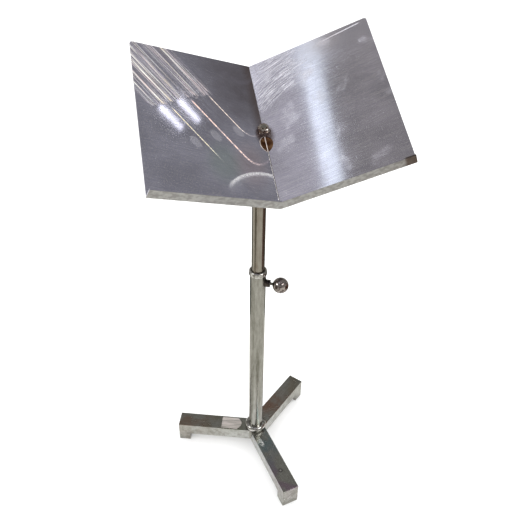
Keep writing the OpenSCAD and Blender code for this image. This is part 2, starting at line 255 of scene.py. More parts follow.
def dark_flag(name, start, end, height, colour):
    """An upright dark card on the floor that only polished metal picks up, as a grey stripe."""
    (x1, y1), (x2, y2) = start, end
    corners = [(x1, y1, 0.001), (x2, y2, 0.001), (x2, y2, height), (x1, y1, height)]
    flag = new_piece(name, corners, [(0, 1, 2, 3)], smooth_shading=False)
    cloth, wire, shader = new_finish(name + "_cloth", Roughness=1.0, Specular_IOR_Level=0.0)
    wire.feed(shader.inputs["Base Color"],
              blend_colour(cloud(rest_place(wire), 5), colour, tuple(c * 1.3 for c in colour)))
    flag.data.materials.append(cloth)
    flag.visible_camera = flag.visible_shadow = flag.visible_diffuse = False


dark_flag("right_flag", (0.62, -0.40), (0.70, 0.34), 0.55, (0.09, 0.055, 0.045))
dark_flag("left_flag", (-0.50, -0.58), (-0.72, -0.20), 0.55, (0.14, 0.13, 0.10))
for name, side in (("left_back_flag", -1), ("right_back_flag", 1)):
    dark_flag(name, (0.14 * side, 0.50), (0.50 * side, 0.20), 0.42, (0.10, 0.10, 0.09))


# ---- Legs and feet -----------------------------------------------------------------------------
# Three bars of flat steel, mitred to each other on the column's axis, with a square block brazed
# under each end. They were polished and nickel-plated together, and the plating has stained.
def ease_edges(node, width, steps=2):
    """Merges the frame's split corners and rounds a piece's sharp edges, as a file leaves them."""
    part = frame["nodes"][node]
    weld = part.modifiers.new("joined_corners", "WELD")
    weld.merge_threshold = 0.000002
    bevel = part.modifiers.new("eased_edges", "BEVEL")
    bevel.width = width
    bevel.segments = steps
    bevel.limit_method = "ANGLE"
    bevel.angle_limit = radians(28)
    bevel.use_clamp_overlap = True
    shading = part.modifiers.new("even_shading", "WEIGHTED_NORMAL")
    shading.keep_sharp = False
    return part


def paint(node, material):
    part = frame["nodes"][node]
    part.data.materials.clear()
    part.data.materials.append(material)


def dot(place, direction):
    """How far a place lies along a direction."""
    return place.node(
        "ShaderNodeVectorMath", {"operation": "DOT_PRODUCT"}, {0: place, 1: tuple(direction)},
        output="Value")


def bump(height, depth):
    """Surface relief: height from 0 to 1 over a depth in metres."""
    return height.node("ShaderNodeBump", {}, {"Strength": 1.0, "Distance": depth, "Height": height})


def hairlines(place, along, fineness, share, shift=0.0):
    """Thin marks that run with a direction; share is how much of the surface they take."""
    side = Vector(along).cross((0.3, 0.5, 0.8)).normalized()
    other = Vector(along).cross(side)
    laid = place.node(
        "ShaderNodeCombineXYZ", {},
        {0: dot(place, along) * 0.03 + shift, 1: dot(place, side), 2: dot(place, other)})
    grain = cloud(laid, fineness, detail=2)
    return smooth(grain, 0.66 - share, 0.72 - share)


def hypot(a, b):
    return a.math("SQRT", a * a + b * b)


plating_colour = (0.43, 0.43, 0.40)
leg_stains = {
    "leg_front": ((0.24, 0.32, 0.34), (0.35, 0.26, 0.33)),
    "leg_left": ((0.30, 0.31, 0.25), (0.36, 0.27, 0.22)),
    "leg_right": ((0.34, 0.23, 0.17), (0.36, 0.33, 0.27)),
}
leg_low, leg_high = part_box("leg_left")
leg_bottom, leg_top = leg_low.z, leg_high.z
leg_half = 0.0185
leg_directions = {}
for leg, (near_stain, far_stain) in leg_stains.items():
    foot = leg.replace("leg", "foot")
    foot_low, foot_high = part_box(foot)
    out = ((foot_low + foot_high) / 2 * Vector((1, 1, 0))).normalized()
    leg_directions[leg] = out
    plating, wire, shader = new_finish(leg + "_plating", Metallic=1.0)
    place = rest_place(wire)
    reach = dot(place, out)
    blotches = cloud(place, 22, detail=5)
    stained = smooth(blotches, 0.42, 0.60)
    outward = smooth(reach, 0.05, 0.17)
    stain = blend_colour(outward, near_stain, far_stain)
    top_face = smooth(dot(place, (0, 0, 1)), leg_top - 0.0015, leg_top - 0.0005)
    ground = smooth(cloud(place, 260, detail=2), 0.35, 0.7)
    # Painted light: the side faces get a paler grey than the tops, for the bright floor they mirror.
    skin = blend_colour(top_face, (0.53, 0.53, 0.51), plating_colour)
    skin = blend_colour(ground * 0.6, skin, (0.30, 0.30, 0.26))
    colour = blend_colour(stained * (0.25 + 0.7 * top_face), skin, stain)
    lines = hairlines(place, out, 900, 0.10)
    colour = blend_colour(lines * 0.35, colour, (0.55, 0.54, 0.52))
    nicks = hairlines(place, out * 0.8 + out.cross((0, 0, 1)) * 0.6, 420, -0.02, shift=3.0)
    colour = blend_colour(nicks * 0.25, colour, (0.62, 0.61, 0.58))
    worn = smooth(cloud(place, 75, detail=5, shift=6.0), 0.42, 0.66)
    colour = blend_colour(worn * (0.5 - 0.35 * top_face), colour, (0.21, 0.20, 0.17))
    dulling = 0.10 + 0.10 * blotches + 0.05 * ground + 0.08 * worn
    if leg == "leg_right":
        band = smooth(reach, 0.03, 0.06) * smooth(reach, 0.14, 0.09) * top_face
        colour = blend_colour(band * (0.35 + 0.5 * worn), colour, (0.36, 0.23, 0.18))
    if leg == "leg_front":
        across = out.cross((0, 0, 1))
        rubbed = (hairlines(place, out + across, 520, 0.04, 5.0)
                  + hairlines(place, out - across * 0.7, 520, 0.04, 9.0)) * top_face
        rubbed = rubbed * smooth(reach, 0.13, 0.06)
        colour = blend_colour(rubbed * 0.35, colour, (0.62, 0.66, 0.66))
        # Painted reflection: a pale matt patch on the top near the hub stands in for the base collar's
        # reflection.
        glint_reach, glint_side, pit_reach = 0.052, 0.008, 0.136
        painted_collar_glint = hypot((reach - glint_reach) * 0.45, dot(place, across) - glint_side)
        painted_collar_glint = smooth(painted_collar_glint, 0.0065, 0.0030) * smooth(cloud(place, 420, detail=3), 0.42, 0.60)
        colour = blend_colour(painted_collar_glint * top_face, colour, (0.86, 0.86, 0.84))
        wire.feed(shader.inputs["Metallic"], 1 - 0.5 * painted_collar_glint * top_face)
        # A small dimple that is not modelled: the dark ring is its painted shade and the pale dot in
        # it its painted highlight.
        pit = place.node("ShaderNodeVectorMath", {"operation": "DISTANCE"},
                         {0: place, 1: (*(out * pit_reach).xy, leg_top)}, output="Value")
        colour = blend_colour(smooth(pit, 0.0055, 0.004), colour, (0.10, 0.09, 0.09))
        colour = blend_colour(smooth(pit, 0.0030, 0.0018), colour, (0.70, 0.69, 0.66))
    if leg == "leg_left":
        side = dot(place, out.cross((0, 0, 1)))
        patch_from, patch_to, patch_half = 0.034, 0.083, 0.0165
        round_end = side * side * 40 + patch_from
        patch = (smooth(reach - round_end, 0, 0.001) * smooth(reach, patch_to, patch_to - 0.001)
                 * smooth(side.math("ABSOLUTE", side), patch_half, patch_half - 0.001) * top_face)
        faded = patch * (0.45 + 0.55 * hairlines(place, out, 520, 0.2))
        colour = blend_colour(faded, colour, (0.64, 0.58, 0.55))
        dulling = dulling + 0.3 * faded
        wire.feed(shader.inputs["Metallic"], 1 - 0.5 * faded)
    wire.feed(shader.inputs["Base Color"], colour)
    wire.feed(shader.inputs["Roughness"], dulling + 0.12 * nicks)
    wire.feed(shader.inputs["Normal"], bump(lines * 0.5 + ground * 0.5 + blotches, 0.00012))
    for node in (leg, foot):
        paint(node, plating)
        ease_edges(node, 0.0007)

# Brazing that was wiped smooth: in the upright corners between the legs, and where each foot
# meets the underside of its leg.
braze_leg = 0.0022
braze_metal, wire, shader = new_finish("wiped_braze", Metallic=1.0)
place = rest_place(wire)
runs = cloud(place, 500, detail=4)
wire.feed(shader.inputs["Base Color"], blend_colour(runs, (0.30, 0.28, 0.24), (0.46, 0.44, 0.39)))
wire.feed(shader.inputs["Roughness"], 0.2 + 0.25 * runs)
wire.feed(shader.inputs["Normal"], bump(runs, 0.0002))


def skin(rows, around, closed=False):
    """Faces over rows of points: the last row joins the first, or else both are capped."""
    faces = [] if closed else [tuple(range(around)), tuple(range((rows - 1) * around, rows * around))]
    for row in range(rows if closed else rows - 1):
        a, b = row * around, (row + 1) % rows * around
        for i in range(around):
            c = (i + 1) % around
            faces.append((a + i, a + c, b + c, b + i))
    return faces


def fillet_strip(name, start, end, side_a, side_b):
    """A hollow-faced fillet from start to end in a corner whose walls run along side_a and side_b."""
    start, end, side_a, side_b = (Vector(v) for v in (start, end, side_a, side_b))
    steps, rings = 6, 10
    hollow, unevenness = 0.33, 0.08
    profile = [Vector((0, 0, 0))]
    for step in range(steps + 1):
        share = step / steps
        chord = side_a * (1 - share) + side_b * share
        profile.append(chord * braze_leg * (1 - hollow * sin(pi * share)))
    points = []
    for ring in range(rings + 1):
        centre = start.lerp(end, ring / rings)
        swell = 1 + unevenness * sin(ring * 2.4)
        points += [centre + p * swell for p in profile]
    piece = new_piece(name, points, skin(rings + 1, len(profile)))
    piece.data.materials.append(braze_metal)
    return piece


order = ["leg_front", "leg_right", "leg_left"]
corner_r = leg_half / sin(radians(60))
for number, leg in enumerate(order):
    neighbour = order[(number + 1) % 3]
    corner_way = (leg_directions[leg] + leg_directions[neighbour]).normalized()
    corner = corner_way * corner_r
    fillet = fillet_strip(
        f"corner_braze_{number}", corner + Vector((0, 0, leg_bottom + 0.001)),
        corner + Vector((0, 0, leg_top - 0.0008)),
        leg_directions[leg], leg_directions[neighbour])
    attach(fillet, "base")
    out = leg_directions[leg]
    across = out.cross((0, 0, 1))
    foot_back = min(p.co.dot(out) for p in frame["nodes"][leg.replace("leg", "foot")].data.vertices)
    seam = out * foot_back + Vector((0, 0, leg_bottom))
    fillet = fillet_strip(
        f"foot_braze_{number}", seam - across * (leg_half - 0.001),
        seam + across * (leg_half - 0.001), -out, (0, 0, -1))
    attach(fillet, "base")


# ---- Hub -----------------------------------------------------------------------------------------
# A turned plug inside the foot of the column, and the bolt and washer that pull the legs up to it
# from below. Plain turned steel with ring marks from the tool.
def turned_finish(name, low, high, ring_axis, centre, dullness, marks=1400):
    """Lathe-turned metal: fine rings round an axis, uneven tarnish, and a few dull spots."""
    material, wire, shader = new_finish(name, Metallic=1.0)
    place = rest_place(wire)
    centred = place.node(
        "ShaderNodeVectorMath", {"operation": "SUBTRACT"}, {0: place, 1: tuple(centre)})
    along = dot(centred, ring_axis)
    span = centred.node("ShaderNodeVectorMath", {"operation": "LENGTH"}, {0: centred}, output="Value")
    rings = cloud(place.node("ShaderNodeCombineXYZ", {}, {0: along, 1: span}), marks, detail=2)
    tarnish = smooth(cloud(place, 70, detail=5), 0.3, 0.7)
    wire.feed(shader.inputs["Base Color"], blend_colour(tarnish, low, high))
    wire.feed(shader.inputs["Roughness"], dullness + 0.14 * tarnish + 0.08 * rings)
    wire.feed(shader.inputs["Normal"], bump(rings + tarnish * 0.5, 0.00004))
    return material


up = Vector((0, 0, 1))
hub_steel = turned_finish("hub_steel", (0.24, 0.22, 0.20), (0.42, 0.41, 0.39), up, (0, 0, 0), 0.28)
for node, edge in (("hub_plug", 0.0005), ("hub_bolt", 0.0008), ("hub_washer", 0.0004)):
    paint(node, hub_steel)
    ease_edges(node, edge)

# ---- Base collar -------------------------------------------------------------------------------
# A round-edged ring, turned and pressed down over the tube's foot. Brightly plated, with the same
# small pits as the ball and the top collar.
pits_a_metre = 1500


def bright_finish(name, colour, tint, dullness=0.05, fineness=60):
    """Bright plating: a clean mirror that has clouded in places, with pin-prick pits."""
    material, wire, shader = new_finish(name, Metallic=1.0)
    place = rest_place(wire)
    clouded = smooth(cloud(place, fineness, detail=4), 0.40, 0.62)
    pits = smooth(cloud(place, pits_a_metre, detail=1), 0.74, 0.80)
    skin = blend_colour(clouded * 0.8, colour, tint)
    wire.feed(shader.inputs["Base Color"], blend_colour(pits, skin, (0.12, 0.11, 0.10)))
    wire.feed(shader.inputs["Roughness"], dullness + 0.12 * clouded + 0.3 * pits)
    wire.feed(shader.inputs["Normal"], bump(0 - pits + clouded * 0.3, 0.00005))
    return material


collar_plating = bright_finish("collar_plating", (0.66, 0.65, 0.63), (0.24, 0.23, 0.21), 0.07, 150)
paint("base_collar", collar_plating)
ease_edges("base_collar", 0.0004)

# ---- Lower tube --------------------------------------------------------------------------------
# Drawn steel tube, nickel-plated over lengthwise polishing. The plating has gone warm and faintly
# cloudy, with small rust freckles.
def tube_finish(name, colour, warm, shift):
    material, wire, shader = new_finish(name, Metallic=1.0)
    place = rest_place(wire)
    draw_lines = cloud(place, 700, stretch=(1, 1, 0.012), detail=3, shift=shift)
    streaks = smooth(cloud(place, 120, stretch=(1, 1, 0.05), detail=3, shift=shift), 0.4, 0.7)
    clouds = cloud(place, 28, stretch=(1, 1, 0.5), detail=5, shift=shift)
    freckles = smooth(cloud(place, 420, detail=2, shift=shift), 0.72, 0.80)
    mottle = smooth(cloud(place, 240, stretch=(1, 1, 0.25), detail=4, shift=shift), 0.3, 0.7)
    skin = blend_colour(streaks * 0.55 + clouds * 0.2 + mottle * 0.4, colour, warm)
    wire.feed(shader.inputs["Base Color"], blend_colour(freckles * 0.6, skin, (0.26, 0.19, 0.14)))
    wire.feed(shader.inputs["Roughness"],
              0.09 + 0.10 * clouds + 0.08 * draw_lines + 0.2 * freckles)
    wire.feed(shader.inputs["Normal"], bump(draw_lines + clouds * 2, 0.00006))
    return material


lower_plating = tube_finish("lower_plating", (0.43, 0.425, 0.395), (0.19, 0.185, 0.155), 0.0)
paint("lower_tube", lower_plating)
ease_edges("lower_tube", 0.0003)

# ---- Top collar --------------------------------------------------------------------------------
# Turned guide ring with a rounded outer edge and a bell mouth, its skirt soldered in the tube.
paint("top_collar", collar_plating)
ease_edges("top_collar", 0.0003)

# ---- Clamp boss --------------------------------------------------------------------------------
# Six-sided boss brazed to the side of the lower tube. It was left unplated and has blackened.
boss_low, boss_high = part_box("clamp_boss")
feed_joint = next(j for j in frame["joints"] if j["name"] == "clamp_feed")
screw_way = Vector(feed_joint["axis"]).normalized()
screw_height = (boss_low.z + boss_high.z) / 2
screw_axis_foot = Vector((0, 0, screw_height))
boss_steel = turned_finish(
    "boss_steel", (0.015, 0.013, 0.012), (0.10, 0.085, 0.075), screw_way, screw_axis_foot, 0.22)
paint("clamp_boss", boss_steel)
ease_edges("clamp_boss", 0.0008, 3)

# The ring of brazing where the boss meets the tube.
tube_r = (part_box("lower_tube")[1].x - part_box("lower_tube")[0].x) / 2
boss_side = up.cross(screw_way)
boss_corner = max(abs((v.co - screw_axis_foot).dot(boss_side)) for v in
                  frame["nodes"]["clamp_boss"].data.vertices)
boss_corner_z = (boss_high.z - boss_low.z) / 2
boss_r = max(boss_corner, boss_corner_z)
bead_r = 0.0009
loop_steps, bead_sides = 72, 8
points = []
for step in range(loop_steps):
    turn = 2 * pi * step / loop_steps
    within = (turn + (0 if boss_corner_z > boss_corner else pi / 6)) % (pi / 3) - pi / 6
    outline = boss_r * cos(pi / 6) / cos(within)
    y, z = outline * cos(turn), outline * sin(turn)
    x = sqrt(tube_r ** 2 - y ** 2)
    centre = screw_axis_foot + screw_way * x + boss_side * y + up * z
    outward = (boss_side * y + up * z).normalized()
    for side in range(bead_sides):
        around = 2 * pi * side / bead_sides
        lump = bead_r * (1 + 0.12 * sin(5 * turn) + 0.08 * sin(13 * turn))
        points.append(centre + (outward * cos(around) + screw_way * sin(around)) * lump)
boss_braze = new_piece("boss_braze", points, skin(loop_steps, bead_sides, closed=True))
boss_braze.data.materials.append(boss_steel)
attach(boss_braze, "base")


# ---- Clamp shoe and screw ----------------------------------------------------------------------
# A brass shoe bears on the upper tube, and a pin on the screw's tip turns in it. The screw is
# steel with a rolled thread, nickel-plated with the tube.
brass_low, brass_high = (0.30, 0.20, 0.09), (0.62, 0.47, 0.22)
shoe_brass = turned_finish("shoe_brass", brass_low, brass_high, screw_way, screw_axis_foot, 0.25)
paint("clamp_shoe", shoe_brass)
ease_edges("clamp_shoe", 0.0002)


def threaded_rod(name, start, way, length, outer_r, pitch, pin_r=0.0, pin_length=0.0):
    """A rod with a helical thread from start along way; a plain pin may stand out of its start."""
    way = Vector(way).normalized()
    side = way.orthogonal().normalized()
    other = way.cross(side)
    around, depth, rings_a_pitch = 32, 0.55 * pitch, 8
    chamfer = 0.8 * depth
    rings = []
    if pin_length:
        rings += [(-pin_length, lambda turn: pin_r * 0.85), (-pin_length + 0.0002, lambda turn: pin_r),
                  (0.0, lambda turn: pin_r)]
    steps = int(length / pitch * rings_a_pitch)
    for step in range(steps + 1):
        at = length * step / steps
        from_end = min(at, length - at)
        limit = outer_r - max(0.0, chamfer - from_end)

        def cut(turn, at=at, limit=limit):
            phase = at / pitch - turn / (2 * pi)
            flank = abs((phase - floor(phase)) * 2 - 1)
            return min(limit, outer_r - depth * max(0.0, min(1.0, 1.3 * flank - 0.15)))
        rings.append((at, cut))
    points = []
    for at, radius in rings:
        for i in range(around):
            turn = 2 * pi * i / around
            r = radius(turn)
            points.append(Vector(start) + way * at + (side * cos(turn) + other * sin(turn)) * r)
    return new_piece(name, points, skin(len(rings), around))


screw_reach = [(v.co - screw_axis_foot).dot(screw_way)
               for v in frame["nodes"]["clamp_screw"].data.vertices]
screw_from, screw_to = min(screw_reach), max(screw_reach)
screw_r = (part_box("clamp_screw")[1].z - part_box("clamp_screw")[0].z) / 2
pin_length, pin_r, screw_pitch = 0.0016, 0.0015, 0.00127
screw = threaded_rod(
    "threaded_screw", screw_axis_foot + screw_way * (screw_from + pin_length), screw_way,
    screw_to - screw_from - pin_length, screw_r, screw_pitch, pin_r, pin_length)
screw_plating = turned_finish(
    "screw_plating", (0.16, 0.15, 0.13), (0.40, 0.39, 0.36), screw_way, screw_axis_foot, 0.16)
screw.data.materials.append(screw_plating)
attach(screw, "clamp_handle")
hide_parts("clamp_screw")

# ---- Ball handle -------------------------------------------------------------------------------
# A turned steel ball, drilled and pinned on the end of the screw, with the brightest plating on
# the stand.
ball_plating = bright_finish("ball_plating", (0.42, 0.38, 0.36), (0.05, 0.03, 0.028), 0.04, 170)
paint("ball_knob", ball_plating)

# ---- Guide and mast plug -----------------------------------------------------------------------
# A brass sleeve runs in the lower tube. It is held on the mast plug's spigot by a cheese-head
# screw and a washer, so that the column can turn in it.
guide_brass = turned_finish("guide_brass", brass_low, brass_high, up, (0, 0, 0), 0.22)
paint("guide_sleeve", guide_brass)
ease_edges("guide_sleeve", 0.0003)
mast_steel = turned_finish("mast_steel", (0.22, 0.21, 0.19), (0.45, 0.44, 0.42), up, (0, 0, 0), 0.25)
for node in ("guide_screw", "guide_washer", "mast_plug"):
    paint(node, mast_steel)
    ease_edges(node, 0.0003)

# ---- Upper tube and head -----------------------------------------------------------------------
# Thinner drawn tube, plated as the lower one and worn bright where it slides. The head is one
# turning: a plug in the tube, a flange and a flat blade with the pivot's eye.
upper_plating = tube_finish("upper_plating", (0.36, 0.34, 0.30), (0.19, 0.155, 0.12), 4.0)
paint("upper_tube", upper_plating)
ease_edges("upper_tube", 0.0003)
paint("mast_head", upper_plating)
ease_edges("mast_head", 0.0006)


# ---- Tilt pivot --------------------------------------------------------------------------------
# A hexagon bolt and nut squeeze the two blades together over three flat brass washers, and that
# grip holds the tray at its slope.
def hex_piece(name, start, way, hex_r, thickness, hole_r):
    """A nut, or a bolt's head where hole_r is 0: a hexagon whose corners are turned to a cone."""
    way = Vector(way).normalized()
    side = way.orthogonal().normalized()
    other = way.cross(side)
    around = 60
    flat_r = hex_r * cos(pi / 6)
    crown_r = flat_r * 0.96
    slope = tan(radians(30))
    outline = [flat_r / cos((2 * pi * i / around + pi / 6) % (pi / 3) - pi / 6) for i in range(around)]
    near_rim = [((r - crown_r) * slope, r) for r in outline]
    far_rim = [(thickness - drop, r) for drop, r in near_rim]
    rows = [[(0.0, crown_r)] * around, near_rim, far_rim, [(thickness, crown_r)] * around]
    if hole_r:
        lead = 0.12 * hole_r
        rows.append([(thickness, hole_r + lead)] * around)
        rows.append([(thickness - lead, hole_r)] * around)
        rows.append([(lead, hole_r)] * around)
        rows.append([(0.0, hole_r + lead)] * around)
    points = []
    for row in rows:
        for i, (at, r) in enumerate(row):
            turn = 2 * pi * i / around
            points.append(Vector(start) + way * at + (side * cos(turn) + other * sin(turn)) * r)
    faces = skin(len(rows), around, closed=hole_r > 0)
    piece = new_piece(name, points, faces, smooth_shading=False)
    edges = piece.modifiers.new("eased_edges", "BEVEL")
    edges.width = 0.00025
    edges.segments = 2
    edges.limit_method = "ANGLE"
    edges.angle_limit = radians(25)
    return piece


tilt_joint = next(j for j in frame["joints"] if j["name"] == "tray_tilt")
pivot = Vector(tilt_joint["pos_m"])
pivot_way = Vector((1, 0, 0))
pivot_steel = turned_finish(
    "pivot_steel", (0.14, 0.13, 0.12), (0.38, 0.37, 0.35), pivot_way, pivot, 0.24)
washer_brass = turned_finish("washer_brass", brass_low, brass_high, pivot_way, pivot, 0.26)
nut_low, nut_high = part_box("tilt_nut")
nut_corner_r = max((nut_high.z - nut_low.z) / 2 / cos(pi / 6), (nut_high.y - nut_low.y) / 2)
bolt_low, bolt_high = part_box("tilt_bolt")
bolt_r, bolt_pitch = 0.004, 0.00125
inside_box = 0.995
head_corner_r = (bolt_high.y - bolt_low.y) / 2
head_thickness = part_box("tilt_washers")[0].x - bolt_low.x
pivot_nut = hex_piece("pivot_nut", (nut_low.x, 0, pivot.z), pivot_way, nut_corner_r * inside_box,
                      nut_high.x - nut_low.x, bolt_r)
pivot_head = hex_piece("pivot_bolt_head", (bolt_low.x, 0, pivot.z), pivot_way,
                       head_corner_r * inside_box, head_thickness, 0.0)
pivot_shank = threaded_rod(
    "pivot_bolt_shank", (bolt_low.x + head_thickness, 0, pivot.z), pivot_way,
    bolt_high.x - bolt_low.x - head_thickness, bolt_r, bolt_pitch)
for piece in (pivot_nut, pivot_head, pivot_shank):
    piece.data.materials.append(pivot_steel)
    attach(piece, "mast")
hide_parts("tilt_nut")
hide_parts("tilt_bolt")
paint("tilt_washers", washer_brass)
ease_edges("tilt_washers", 0.0002)

# ---- Tray lug ----------------------------------------------------------------------------------
# The tray's half of the pivot: blade, shoulder and threaded stud in one turning. A red fibre
# washer on the shoulder gives the tray's turn its drag.
stud_joint = next(j for j in frame["joints"] if j["name"] == "tray_swivel")
stud_way = Vector(stud_joint["axis"]).normalized()
stud_foot = Vector(stud_joint["pos_m"])
lug_plating = turned_finish(
    "lug_plating", (0.26, 0.24, 0.21), (0.48, 0.46, 0.42), stud_way, stud_foot, 0.16)
paint("tray_lug", lug_plating)
ease_edges("tray_lug", 0.0006)
fibre, wire, shader = new_finish("fibre", Metallic=0.0, Specular_IOR_Level=0.3)
weave = cloud(rest_place(wire), 1800, stretch=(1, 1, 0.3), detail=2)
wire.feed(shader.inputs["Base Color"], blend_colour(weave, (0.16, 0.035, 0.02), (0.30, 0.08, 0.05)))
wire.feed(shader.inputs["Roughness"], 0.55 + 0.25 * weave)
wire.feed(shader.inputs["Normal"], bump(weave, 0.0001))
paint("lug_washer", fibre)
ease_edges("lug_washer", 0.0002)

# ---- Saddle ------------------------------------------------------------------------------------
# Brass block behind the fold, milled to the plates' V and soldered to both. Flux and smoke have
# browned it; the rib that stands in the oval carries a painted highlight, a pale, less metallic line.
def broad_face(node):
    """The reader's face of a plate: its normal and one point on it."""
    best = max((p for p in frame["nodes"][node].data.polygons if p.normal.z > 0.5),
               key=lambda p: p.area)
    return best.normal.copy(), best.center.copy()


left_normal, left_point = broad_face("left_plate")
right_normal, right_point = broad_face("right_plate")
fold_up = right_normal.cross(left_normal).normalized()
ledge_level = min(v.co.dot(fold_up) for v in frame["nodes"]["left_plate"].data.vertices)
fold_foot = Matrix((left_normal, right_normal, fold_up)).inverted() @ Vector((
    left_normal.dot(left_point), right_normal.dot(right_point), ledge_level))
fold_front = (left_normal + right_normal).normalized()
fold_side = fold_up.cross(fold_front)

saddle_brass, wire, shader = new_finish("saddle_brass")
place = rest_place(wire)
tarnish = smooth(cloud(place, 70, detail=5), 0.3, 0.7)
tool_marks = cloud(place, 700, stretch=(1, 1, 0.2), detail=2)
brass = blend_colour(tarnish, (0.07, 0.025, 0.012), (0.34, 0.19, 0.10))
from_middle = dot(place, fold_side) - fold_foot.dot(fold_side)
rib_half = 0.001
painted_rib_highlight = (smooth(from_middle * from_middle, 1.2 * rib_half ** 2, 0.8 * rib_half ** 2)
          * smooth(dot(place, fold_front) - fold_foot.dot(fold_front), -0.0024, -0.0018))
wire.feed(shader.inputs["Base Color"], blend_colour(painted_rib_highlight, brass, (0.70, 0.60, 0.56)))
wire.feed(shader.inputs["Metallic"], 1 - 0.5 * painted_rib_highlight)
wire.feed(shader.inputs["Roughness"], 0.30 + 0.14 * tarnish + 0.1 * tool_marks)
wire.feed(shader.inputs["Normal"], bump(tool_marks + tarnish * 0.5, 0.00004))
paint("saddle", saddle_brass)
ease_edges("saddle", 0.0007)


# ---- Plates ------------------------------------------------------------------------------------
# Two polished aluminium sheets, each with its ledge folded up from the same sheet, and joined
# along the fold. A buffing wheel has left sweeps and hairlines, and fingers have clouded them.
stud_level = (stud_foot - fold_foot).dot(fold_up)


def plate_place(wire, across):
    """A point's place on a plate: metres out from the fold, and metres up from the ledge."""
    place = rest_place(wire)
    out = dot(place, across) - fold_foot.dot(across)
    up_fold = dot(place, fold_up) - fold_foot.dot(fold_up)
    return place, out, up_fold


def marks(first, second, fineness, low, high, pull=0.03, shift=0.0):
    """Hairlines that run along first and are thin across second."""
    laid = first.node("ShaderNodeCombineXYZ", {}, {0: first * pull + shift, 1: second, 2: shift})
    return smooth(cloud(laid, fineness, detail=2), low, high)


def worn_sheet(name, across, tone, tilt, stroke_share):
    """What both plates share; it gives back the wires that each plate's own marks build on."""
    material, wire, shader = new_finish(name, Metallic=1.0)
    place, out, up_fold = plate_place(wire, across)
    clouds = cloud(place, 16, detail=5)
    grey = blend_colour(smooth(clouds, 0.35, 0.68), tone, tuple(c * 0.72 for c in tone))
    specks = smooth(cloud(place, 900, detail=4), 0.50, 0.68)
    grey = blend_colour(specks * 0.7, grey, tuple(min(1, c * 1.45) for c in tone))
    lengthwise = out * cos(tilt) + up_fold * sin(tilt)
    crosswise = up_fold * cos(tilt) - out * sin(tilt)
    brushing = marks(lengthwise, crosswise, 1500, 0.3, 0.7)
    grain = marks(lengthwise, crosswise, 520, 0.35, 0.65, 0.06, 4.0)
    grey = blend_colour(grain * 0.45, grey, tuple(c * 0.72 for c in tone))
    strokes = marks(lengthwise, crosswise, 900, 0.48, 0.70, 0.02, 9.0)
    grey = blend_colour(strokes * stroke_share, grey, tuple(min(1, c * 1.4) for c in tone))
    nicks = marks(crosswise + out * 0.4, lengthwise, 800, 0.70, 0.76, 0.08, 2.0)
    grey = blend_colour(nicks * 0.5, grey, (0.92, 0.90, 0.95))
    dullness = 0.035 + 0.02 * clouds + 0.03 * specks + 0.02 * brushing + 0.2 * nicks
    relief = brushing * 0.008 + clouds * 0.05
    return material, wire, shader, place, out, up_fold, grey, dullness, relief


def finish_sheet(wire, shader, out, up_fold, grey, dullness, relief, stained_end=None):
    """A darker brown ring round the stud, the ledge's face in painted shade, a stained end, and the
    last links.
    """
    # The sheet is made darker brown in a patch round the stud.
    darkening_level = stud_level - 0.012
    from_stud = hypot(out, (up_fold - darkening_level) * 0.75)
    stud_darkening = smooth(from_stud, 0.020, 0.009) * (0.5 + 0.8 * cloud(from_stud.node(
        "ShaderNodeCombineXYZ", {}, {0: out, 1: up_fold}), 220))
    grey = blend_colour(stud_darkening * 0.9, grey, (0.11, 0.065, 0.05))
    # Painted shade: the ledge's face gets a darker grey for the shaded floor under the tray that it
    # mirrors; the smudges vary it at random.
    under_ledge = smooth(up_fold, 0.0006, 0.0001)
    smudge = smooth(cloud(rest_place(wire), 150, detail=5, shift=6.0), 0.40, 0.62)
    shaded_ledge_grey = blend_colour(smudge * 0.6, (0.44, 0.435, 0.43), (0.20, 0.19, 0.185))
    grey = blend_colour(under_ledge, grey, shaded_ledge_grey)
    if stained_end:
        end_stain = smooth(out, stained_end - 0.004, stained_end + 0.002) * smooth(
            up_fold, 0.010, 0.002)
        grey = blend_colour(end_stain * 0.85, grey, (0.10, 0.065, 0.045))
    wire.feed(shader.inputs["Base Color"], grey)
    wire.feed(shader.inputs["Roughness"], dullness + 0.2 * stud_darkening + 0.3 * under_ledge)
    wire.feed(shader.inputs["Normal"], bump(relief, 0.00012))


# The left plate's sweeps: s runs down along the wheel's path, t crosses it towards the fold. Near
# the fold the path bends.
path_out, path_up = -0.62, -0.785
bend_start, bend = 0.045, 17


def along_path(out, up):
    """A place on the plate as a distance down the wheel's path and one across it."""
    return out * path_out + up * path_up, out * path_up - up * path_out


across_left = left_normal.cross(fold_up)
sheet, wire, shader, place, out, up_fold, grey, dullness, relief = worn_sheet(
    "left_sheet", across_left, (0.68, 0.68, 0.86), radians(8), 0.08)
to_bend = bend_start - out
nearing = to_bend.node("ShaderNodeClamp", {}, {0: to_bend})
s, t = along_path(out, up_fold)
t = t - nearing * nearing * bend
front = smooth(dot(place, left_normal) - left_normal.dot(left_point), -0.0010, -0.0006)
fray = marks(s, t, 500, 0.3, 0.7, 0.2, 5.0) * 0.012
sweep_end = t * 0.25 - 0.236 + fray
in_sweep = (front * smooth(s - sweep_end, 0.0015, -0.0005) * smooth(t, -0.050, -0.040)
            * smooth(t, 0.068, 0.058))
fine = marks(s, t, 420, 0.38, 0.66, 0.02, 1.0)
broad = marks(s, t, 110, 0.36, 0.60, 0.02, 7.0)
sweeps_and_sheen = in_sweep * (0.10 * broad + 0.90 * fine * broad + 0.08 * fine)

